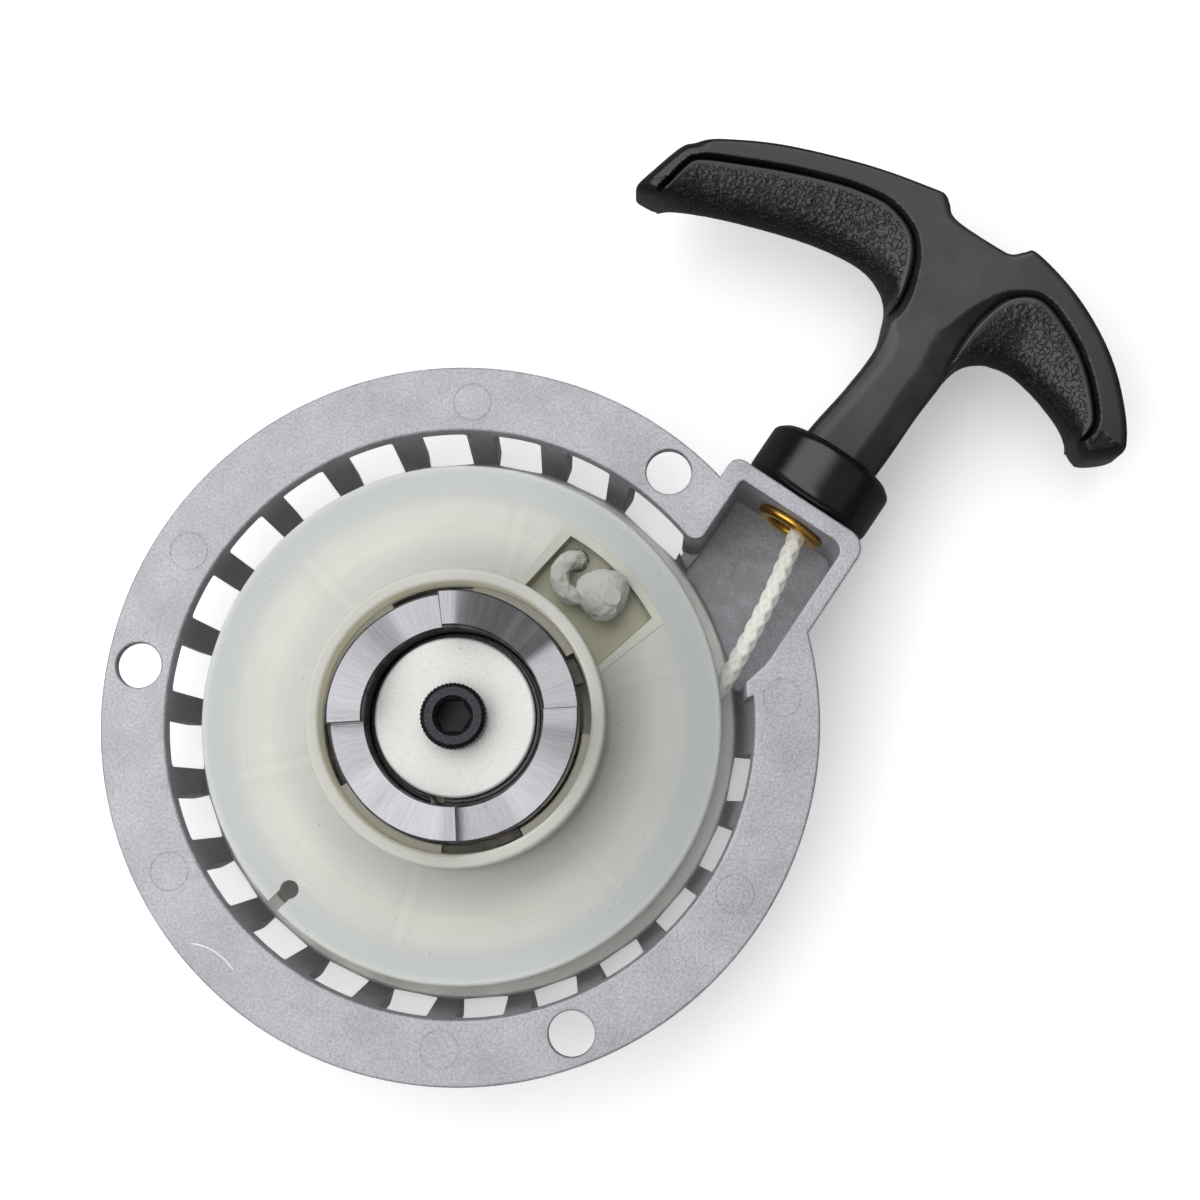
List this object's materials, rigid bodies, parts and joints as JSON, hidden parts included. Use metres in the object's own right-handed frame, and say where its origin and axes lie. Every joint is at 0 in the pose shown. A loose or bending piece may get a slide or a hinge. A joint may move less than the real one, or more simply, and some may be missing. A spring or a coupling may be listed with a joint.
{
  "type": "recoil starter",
  "caption": "Round pull starter with a rope reel and a toothed claw ring in a slotted cast housing, and a T handle on the rope.",
  "frame": {"origin": "centre of the flat back that the starter lies on, on the reel's axis", "axes": "+Z along the reel's axis towards the engine, so the starter lies on its back; the rope is pulled in the XY plane, 56 degrees from +X towards +Y"},
  "size_m": [0.2086, 0.1945, 0.05],
  "materials": {
    "cast_aluminium": "as die-cast, fine grain",
    "machined_aluminium": "machined",
    "zinc_steel": "zinc plated",
    "black_steel": "black oxide",
    "spring_steel": "bare",
    "brass": "satin",
    "nylon": "milky, translucent",
    "rope": "braided",
    "black_plastic": "satin, fine wrinkle on the grips",
    "black_rubber": "glossy"
  },
  "bodies": {
    "housing": {"housing": "cast_aluminium", "rope_eyelet": "brass", "axle_sleeve": "zinc_steel", "thrust_washer": "zinc_steel", "mainspring": "spring_steel", "spring_anchor_pin": "zinc_steel", "retaining_washer": "zinc_steel", "hub_screw": "black_steel", "rope_duct": "rope"},
    "reel": {"reel": "nylon", "rope_coil": "rope", "rope_knot_reel": "rope"},
    "friction_spring": {"friction_spring": "spring_steel"},
    "claw_ring": {"claw_ring": "machined_aluminium"},
    "handle": {"handle": "black_plastic", "handle_boot": "black_rubber", "rope_lead": "rope", "rope_knot_handle": "rope", "knot_washer": "zinc_steel"}
  },
  "joints": [
    {"name": "handle_pull", "type": "slide", "parent": "housing", "child": "handle", "axis": [0.5592, 0.829, 0], "range_m": [0, 0.66], "stiffness_N_per_m": 10, "springref_m": -1.5},
    {"name": "reel_spin", "type": "hinge", "parent": "housing", "child": "reel", "pos_m": [0, 0, 0], "axis": [0, 0, 1], "range_deg": [0, 933.4]},
    {"name": "claw_turn", "type": "hinge", "parent": "reel", "child": "friction_spring", "pos_m": [0, 0, 0], "axis": [0, 0, 1], "range_deg": [-22, 0]},
    {"name": "claw_lift", "type": "slide", "parent": "friction_spring", "child": "claw_ring", "axis": [0, 0, 1], "range_m": [0, 0.006]}
  ],
  "couplings": [
    {"joint": "reel_spin", "follows": "handle_pull", "rad_per_m": 24.631},
    {"joint": "claw_turn", "follows": "claw_lift", "rad_per_m": -63.9}
  ]
}
